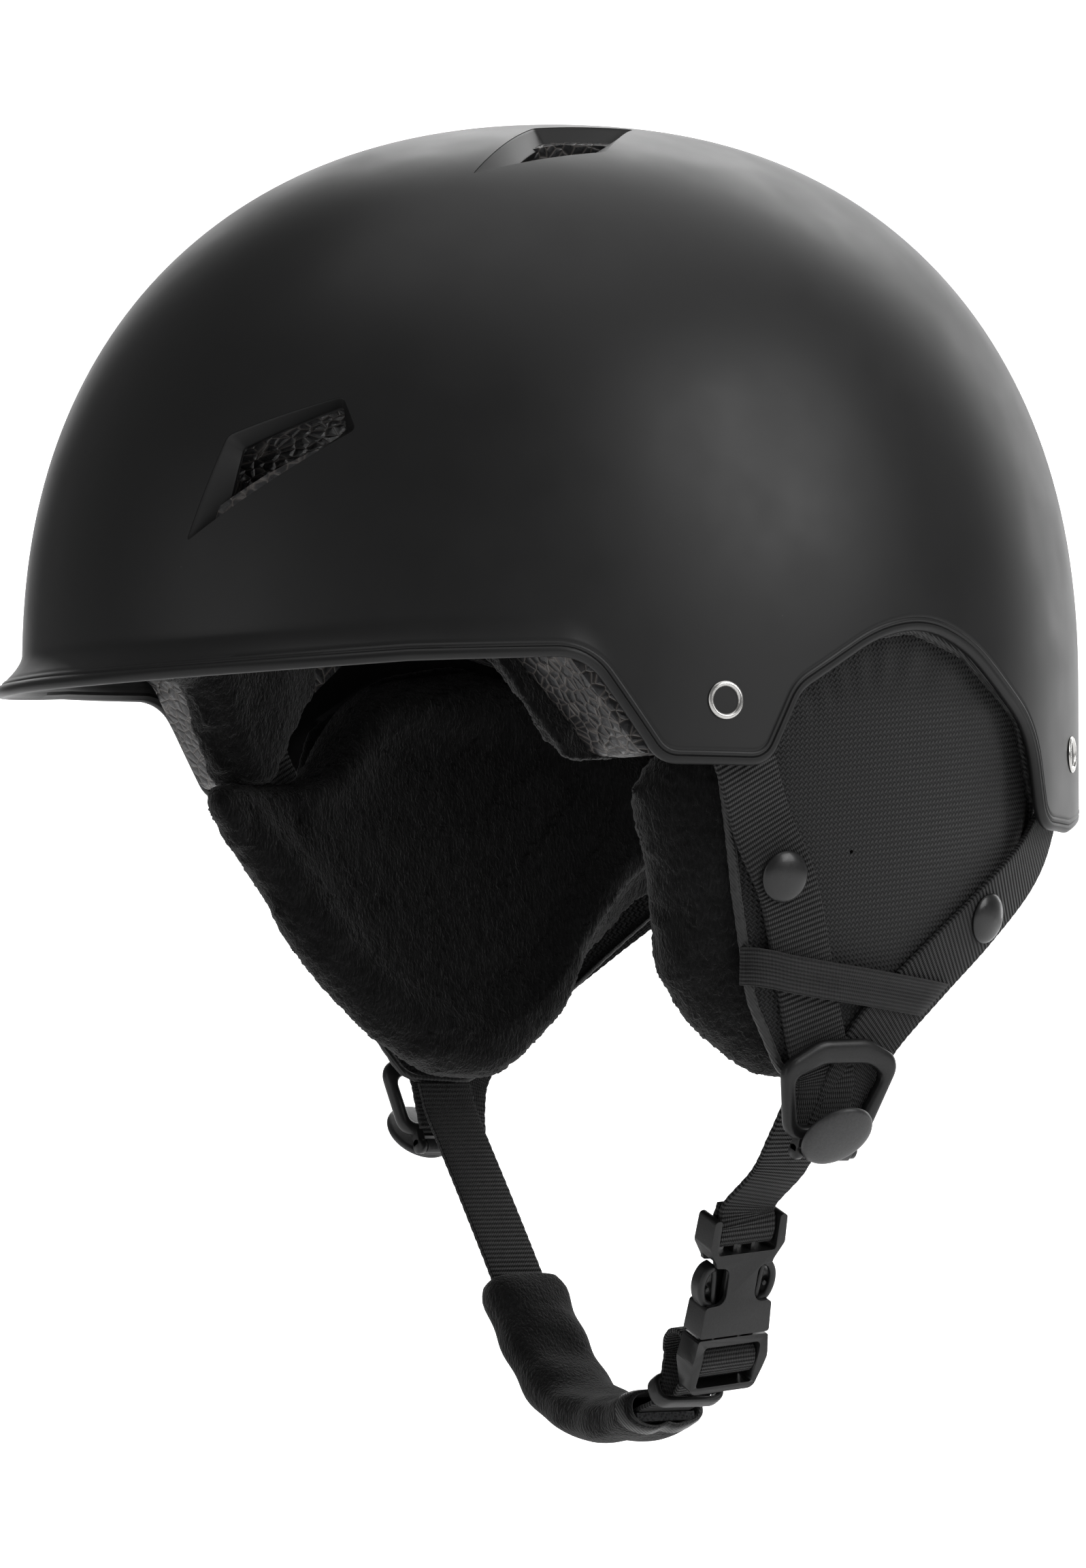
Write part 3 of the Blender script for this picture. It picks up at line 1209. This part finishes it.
def buckle_socket():
    w, t = HALF_BUCKLE, BUCKLE_THICK
    half = [(-w + 0.4, 1.6, 1.2), (-w, -6.0, 2), (-w + 2.6, -10.2, 2.5), (-w + 2.8, -11.2, 0.5),
            (-w + 6.7, -11.6, 4.7), (-w + 6.9, -21.2, 4.7), (-w + 1.3, -21.6, 1.0),
            (-w + 0.7, -SOCKET_LENGTH, 0.8)]
    notch = [(w - 2.5, 1.6, 0.8), (w - 2.5, -7.8, 1), (-w + 2.5, -7.8, 1), (-w + 2.5, 1.6, 0.8)]
    body = plate("socket_body", both_sides(half) + notch, -t / 2, t / 2, IN_BUCKLE, PLASTIC, SOCKET, 0)
    w2 = w - 2.0
    low, high = -SOCKET_LENGTH - 4, -9.5
    tunnel = [(-w2, low), (w2, low), (w2, high), (-w2, high)]
    carve(body, framed([(x, y, z) for z in (-2.4, 2.4) for x, y in tunnel], *IN_BUCKLE))
    bevelled(body, 0.7, 4, 50)
    bar = rod("socket_bar", *framed([(-w + 1.6, -3.9, 0), (w - 1.6, -3.9, 0)], *IN_BUCKLE), BAR_R, PLASTIC,
              SOCKET)
    ribs = []
    for x in (-2.6, 2.6):
        ribs.append(oriented_box(f"socket_rib_{x}", framed([x, -6.6, 0.2], *IN_BUCKLE), ACROSS, ALONG,
                                 OUTWARD, (1.2, 3.4, 4.2), PLASTIC, SOCKET, 0.2))
    piece = joined("buckle_socket_shell", [body, bar, *ribs])
    stand_in(piece, "moulded_plastic", "buckle_socket")


def buckle_plug():
    """Wedge-shaped frame whose window shows the webbing over its bar, and the guide tongue."""
    w, top = HALF_BUCKLE, PLUG_TOP
    foot = top - PLUG_LENGTH
    outline = [(-w + 0.8, top, 0.8), (w - 0.8, top, 0.8), (w, top - 6.5, 3), (w - 1.8, foot, 2),
               (-w + 1.8, foot, 2), (-w, top - 6.5, 3)]
    body = plate("plug_body", outline, -BUCKLE_THICK / 2, BUCKLE_THICK / 2, IN_BUCKLE, PLASTIC, LOOP, 0)
    front = [(top + 3, 3.6), (top - 5, 3.8), (top - 9.5, 3.2), (foot - 2, 1.6), (foot - 2, 12),
             (top + 3, 12)]
    back = [(top + 3, -3.4), (top - 8, -3.8), (foot - 2, -2.4), (foot - 2, -12), (top + 3, -12)]
    for side_view in (front, back):
        carve(body, framed([(x, y, z) for x in (-20, 20) for y, z in side_view], *IN_BUCKLE))
    window = [(-8.3, top - 2.0, 1.2), (8.3, top - 2.0, 1.2), (8.3, foot + 1.9, 1.0),
              (-8.3, foot + 1.9, 1.0)]
    carve(body, framed([(x, y, z) for z in (-9, 9) for x, y in rounded(window, arc_points=6)], *IN_BUCKLE))
    bevelled(body, 0.55, 3, 32)
    bar = rod("plug_bar", *framed([(-9.4, PLUG_BAR, 0.2), (9.4, PLUG_BAR, 0.2)], *IN_BUCKLE), BAR_R,
              PLASTIC, LOOP)
    blade = [(-2.6, top - 1, 0), (2.6, top - 1, 0), (2.2, top + 17, 1), (-2.2, top + 17, 1)]
    tongue = plate("plug_tongue", blade, -1.8, 1.8, IN_BUCKLE, PLASTIC, LOOP, 0.4)
    piece = joined("buckle_plug_frame", [body, bar, tongue])
    stand_in(piece, "moulded_plastic", "buckle_plug")


def buckle_prongs():
    """Spring arms: each bows out into a rounded thumb pad with a raised lip and a pin."""
    top = PLUG_TOP
    parts = []
    for sign in (-1, 1):
        path = [(6.0, top - 0.5), (6.3, top + 4), (7.0, top + 8), (9.2, top + 9.6), (10.3, top + 12.5),
                (10.2, top + 15.5), (9.0, top + 17.8), (7.4, top + 18.6)]
        line = framed([(sign * x, y, 0) for x, y in path], *IN_BUCKLE)
        outs = [ACROSS * sign] * len(line)
        arm = swept(f"arm_{sign}", line, outs, flat_section(4.4, 2.0, 0.8), PLASTIC, LOOP, 0.5,
                    across=[OUTWARD] * len(line))
        inner = [(6.2, top + 8.4), (6.6, top + 12.5), (6.9, top + 16.0), (7.4, top + 18.2)]
        line = framed([(sign * x, y, 0) for x, y in inner], *IN_BUCKLE)
        brace = swept(f"brace_{sign}", line, [ACROSS * sign] * len(line), flat_section(3.6, 1.5, 0.6),
                      PLASTIC, LOOP, 0.5, across=[OUTWARD] * len(line))
        pin = rod(f"catch_{sign}", framed([sign * 8.4, top + 12.6, -1.6], *IN_BUCKLE),
                  framed([sign * 8.4, top + 12.6, 1.5], *IN_BUCKLE), 0.75, PLASTIC, LOOP, 0.2)
        parts += [arm, brace, pin]
    piece = joined("buckle_prong_pair", parts)
    stand_in(piece, "moulded_plastic", "buckle_prongs")
    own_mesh(piece)


buckle_socket()
buckle_plug()
buckle_prongs()


# ---- chin loop -------------------------------------------------------------------------------
def xz_line(stations):
    """Centres and outward directions of webbing that hangs in the chin loop's plane."""
    points = np.array([(x, LOOP_Y, z) for x, z in stations])
    run = unit(np.gradient(points, axis=0))
    return points, np.cross(run, [0, 1.0, 0])


LEFT_CHIN = [(82.4, 20, -101.0), (80.4, 20, -104.4), (77.9, 20, -108.2), (73.4, 20, -114.2),
             (66.5, 20, -122.4)]
LEFT_WRAP = [(4, 1.5), (-1, 2.2), (-3.9, 2.25), (-5.6, 1.55), (-6.15, 0), (-5.6, -1.55), (-3.9, -2.25),
             (0, -1.4), (4.5, -0.3)]
RIGHT_CHIN = [(-82.6, -100.8), (-81, -104.4), (-79.4, -108), (-74, -115.4), (-63, -130), (-52, -145),
              (-46.6, -152.6)]
CHIN_LINE = [(-46.3, -153), (-38, -164), (-29, -174.6), (-18, -182.2), (-5, -185.4), (8, -184.6),
             (18.5, -181.8)]
CHIN_WRAP = [(-43, -12.6), (-39, -14.0), (-35.4, -12.6), (-33.8, -8.9), (-34.8, -5.2),
             (PLUG_BAR + 3.2, -2.2),
             (PLUG_BAR + 2.6, 1.2), (PLUG_BAR + 0.2, 2.6), (PLUG_BAR - 2.6, 2.0), (PLUG_BAR - 4.2, 0.2),
             (PLUG_BAR - 5.2, -2.6), (PLUG_BAR - 8.2, -4.3), (PLUG_BAR - 12.4, -6.6)]


def ribbon(name, points, across, material):
    """Webbing that folds: each station's width direction is given, and its face follows."""
    path = np.asarray(points, float)
    run = unit(np.gradient(path, axis=0))
    outs = np.cross(unit(across), run)
    return swept(name, path, outs, flat_section(WEB_WIDTH, WEB_THICK), material, LOOP, WEB_STEP,
                 across=unit(across), ripple=SELVEDGE)


SIDEWAYS = np.array([0, 1.0, 0])
BUCKLE_SIDEWAYS = ACROSS * np.sign(ACROSS[1])
TURNING = unit(BUCKLE_SIDEWAYS + SIDEWAYS)      # half way from the loop's width direction to the buckle's


wrap = [at_buckle(y, z) for y, z in LEFT_WRAP]
left_points = LEFT_CHIN + wrap
left_cross = [SIDEWAYS] * 4 + [TURNING] + [BUCKLE_SIDEWAYS] * len(wrap)
left_strap = ribbon("left_chin_webbing", left_points, left_cross, WEBBING)
left_strap.parent = None
stand_in(left_strap, "webbing", "left_chin_strap")
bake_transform(left_strap)

right_points, _ = xz_line(RIGHT_CHIN)
right_strap = ribbon("right_chin_webbing", right_points, [SIDEWAYS] * len(right_points), WEBBING)
stand_in(right_strap, "webbing", "right_chin_strap")

chin_points, _ = xz_line(CHIN_LINE)
chin_points = list(chin_points) + [np.array([25.0, 20.8, -178.4])]
chin_points += [at_buckle(y, z) for y, z in CHIN_WRAP]
chin_cross = [SIDEWAYS] * 7 + [TURNING] + [BUCKLE_SIDEWAYS] * len(CHIN_WRAP)
chin_strap = ribbon("chin_band_webbing", chin_points, chin_cross, CHIN_WEB)
stand_in(chin_strap, "webbing", "chin_webbing")


def keeper():
    """Small moulded loop round the folded chin webbing."""
    run = unit([0.88, 0, 0.46])
    flat = (np.array([26.0, 21.0, -177.0]), SIDEWAYS, np.cross(run, SIDEWAYS), run)
    outer = [(-10.3, -4.2, 3.6), (10.3, -4.2, 3.6), (10.3, 4.2, 3.6), (-10.3, 4.2, 3.6)]
    inner = [(-8.4, -2.5, 2.0), (8.4, -2.5, 2.0), (8.4, 2.5, 2.0), (-8.4, 2.5, 2.0)]
    piece = frame_between("keeper_loop", outer, inner, 2.1, flat, PLASTIC, LOOP, 120, 0.6)
    stand_in(piece, "moulded_plastic", "strap_keeper")


def chin_sleeve():
    """Plush sleeve round the chin webbing and its foam, open at both ends, with a satin lip at one."""
    path, outward = xz_line(CHIN_LINE)
    both = spline(np.hstack([path, outward]), 1.6)
    centre, out = both[:, :3], unit(both[:, 3:])
    n = len(centre)
    rows = []
    turns = np.linspace(0, 2 * math.pi, 64, endpoint=False)
    c, s = np.cos(turns), np.sin(turns)
    for k in range(n):
        share = k / (n - 1)
        rise = min(1.0, share / 0.06, (1 - share) / 0.10)
        puff = 0.90 + 0.10 * math.sin(rise * math.pi / 2) + 0.03 * math.sin(share * 34)
        flare = max(0.0, (share - 0.86) / 0.14)
        u = 12.0 * puff * (1 + 0.05 * flare) * np.sign(c) * np.abs(c) ** 0.72
        deep = 6.0 * puff * (1 - 0.12 * flare) + 0.35 * np.sin(turns * 3 + share * 20)
        v = deep * np.sign(s) * np.abs(s) ** 0.75
        seam = np.exp(-((turns - 1.5 * math.pi) / 0.09) ** 2) * 0.9
        v = v + seam
        rows.append(centre[k] + np.array([0, 1.0, 0]) * u[:, None] + out[k] * v[:, None])
    rows = np.array(rows)
    middle = rows.mean(axis=1, keepdims=True)
    inside = middle + (rows - middle) * np.array([0.86])
    first = [rows[0] * 0.5 + inside[0] * 0.5 - unit(rows[1] - rows[0]) * 0.5]
    last = [rows[-1] * 0.5 + inside[-1] * 0.5 + unit(rows[-1] - rows[-2]) * 0.5]
    full = np.concatenate([inside[:8][::-1], first, rows, last, inside[-12:][::-1]])
    tape = [rows[-3] * 1.02 - middle[-3] * 0.02, rows[-2] * 1.03 - middle[-2] * 0.03,
            last[0] * 1.02 - middle[-1] * 0.02 + unit(rows[-1] - rows[-2]) * 0.4,
            inside[-1] * 0.98 + middle[-1] * 0.02, inside[-5] * 0.97 + middle[-5] * 0.03]
    lip = grid("chin_sleeve_lip", np.array(tape), SATIN, LOOP)
    tidy_normals(lip)
    piece = grid("chin_sleeve", full, CHIN_PLUSH, LOOP)
    tidy_normals(piece)
    stand_in(piece, "plush", "chin_pad_cover")


keeper()
chin_sleeve()


# ---- stage -----------------------------------------------------------------------------------
def flat_color(name, color, emission):
    made = bpy.data.materials.new(name)
    made.use_nodes = True
    shader = made.node_tree.nodes["Principled BSDF"]
    shader.inputs["Base Color"].default_value = (*color, 1)
    shader.inputs["Roughness"].default_value = 0.9
    shader.inputs["Specular IOR Level"].default_value = 0.0
    shader.inputs["Emission Color"].default_value = (1, 1, 1, 1)
    shader.inputs["Emission Strength"].default_value = emission
    return made


def plane(name, centre, u, v, material):
    corners = [np.array(centre) + np.array(u) * a + np.array(v) * b
               for a, b in ((-1, -1), (1, -1), (1, 1), (-1, 1))]
    mesh = bpy.data.meshes.new(name)
    mesh.from_pydata([tuple(c) for c in corners], [], [(0, 1, 2, 3)])
    mesh.materials.append(material)
    made = bpy.data.objects.new(name, mesh)
    bpy.context.collection.objects.link(made)


def area_light(name, place, target, size, power):
    data = bpy.data.lights.new(name, "AREA")
    data.shape = "RECTANGLE"
    data.size, data.size_y = size
    data.energy = power
    light = bpy.data.objects.new(name, data)
    light.location = place
    light.rotation_euler = (Vector(target) - Vector(place)).to_track_quat("-Z", "Y").to_euler()
    bpy.context.collection.objects.link(light)


AZIMUTH, ELEVATION = math.radians(56), math.radians(-3)
BACK = Vector((math.sin(AZIMUTH) * math.cos(ELEVATION), -math.cos(AZIMUTH) * math.cos(ELEVATION),
               math.sin(ELEVATION)))
RIGHT = Vector((math.cos(AZIMUTH), math.sin(AZIMUTH), 0))
FORWARD = Vector((-BACK.x, -BACK.y, 0)).normalized()
TARGET = RIGHT * -0.0034 + Vector((0, 0, -0.0261))

plane("floor", (0, 0, -0.36), (6, 0, 0), (0, 6, 0), flat_color("floor_pale", (0.8, 0.8, 0.8), 0.25))
plane("backdrop", FORWARD * 1.6 + Vector((0, 0, 0.3)), RIGHT * 0.85, (0, 0, 1.1),
      flat_color("backdrop_white", (0.9, 0.9, 0.9), 1.0))

world = bpy.data.worlds.new("studio")
world.use_nodes = True
world.node_tree.nodes["Background"].inputs["Color"].default_value = (1, 1, 1, 1)
world.node_tree.nodes["Background"].inputs["Strength"].default_value = 0.16
bright = world.node_tree.nodes.new("ShaderNodeBackground")
bright.inputs["Color"].default_value = (1, 1, 1, 1)
bright.inputs["Strength"].default_value = 0.95
seen = world.node_tree.nodes.new("ShaderNodeLightPath")
choice = world.node_tree.nodes.new("ShaderNodeMixShader")
world.node_tree.links.new(seen.outputs["Is Camera Ray"], choice.inputs[0])
world.node_tree.links.new(world.node_tree.nodes["Background"].outputs[0], choice.inputs[1])
world.node_tree.links.new(bright.outputs[0], choice.inputs[2])
world.node_tree.links.new(choice.outputs[0], world.node_tree.nodes["World Output"].inputs[0])
bpy.context.scene.world = world
bpy.context.scene.view_settings.view_transform = "Standard"

area_light("key_right", RIGHT * 1.5 + BACK * 0.9 + Vector((0, 0, 0.9)), (0, 0, 0), (1.0, 1.2), 12)
area_light("fill_left", RIGHT * -1.4 + BACK * 1.2 + Vector((0, 0, 0.2)), (0, 0, 0), (1.2, 1.2), 2.2)
area_light("top_soft", RIGHT * 0.2 + BACK * 0.1 + Vector((0, 0, 1.5)), (0, 0, 0), (1.4, 1.4), 5)

area_light("rim_right", RIGHT * 1.15 - BACK * 1.25 + Vector((0, 0, 0.5)), (0, 0, 0.02), (0.45, 1.6), 6)
area_light("rim_top", RIGHT * 0.35 - BACK * 1.15 + Vector((0, 0, 1.25)), (0, 0, 0.05), (1.4, 0.4), 8)

camera_data = bpy.data.cameras.new("camera")
camera_data.sensor_width = 36
camera_data.lens = 137.2
camera = bpy.data.objects.new("camera", camera_data)
camera.location = TARGET + BACK * 1.5
camera.rotation_euler = (-BACK).to_track_quat("-Z", "Y").to_euler()
bpy.context.collection.objects.link(camera)
bpy.context.scene.camera = camera

bpy.context.view_layer.update()
